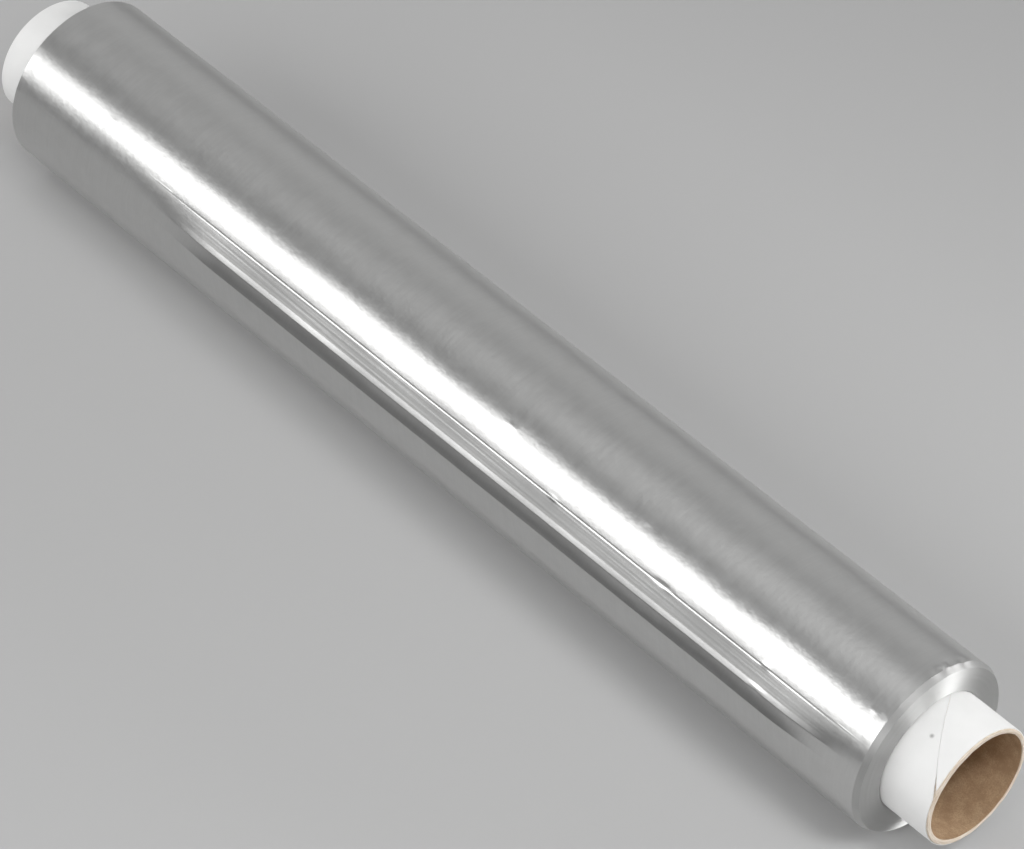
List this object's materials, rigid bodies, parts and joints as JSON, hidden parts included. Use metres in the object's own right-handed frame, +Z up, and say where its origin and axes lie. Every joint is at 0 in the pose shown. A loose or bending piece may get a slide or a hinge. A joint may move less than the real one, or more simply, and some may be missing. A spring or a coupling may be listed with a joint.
{
  "type": "aluminium foil roll",
  "caption": "Roll of aluminium foil wound on a projecting white-covered kraft core, with a slack outer turn along its front; lies on its side or turns on a spindle.",
  "frame": {"origin": "bottom centre of the whole roll, on the table under its flat spot", "axes": "+X along the core, towards the longer stub; +Z up; the slack of the outer turn faces -Y"},
  "size_m": [0.33, 0.047, 0.0456],
  "materials": {
    "foil": "bright rolled, faint lines round the roll",
    "kraft": "matt spiral-wound kraft",
    "white_paper": "matt white"
  },
  "bodies": {
    "root": {"wound_foil": "foil", "core_tube": "kraft", "core_cover": "white_paper"}
  },
  "joints": []
}
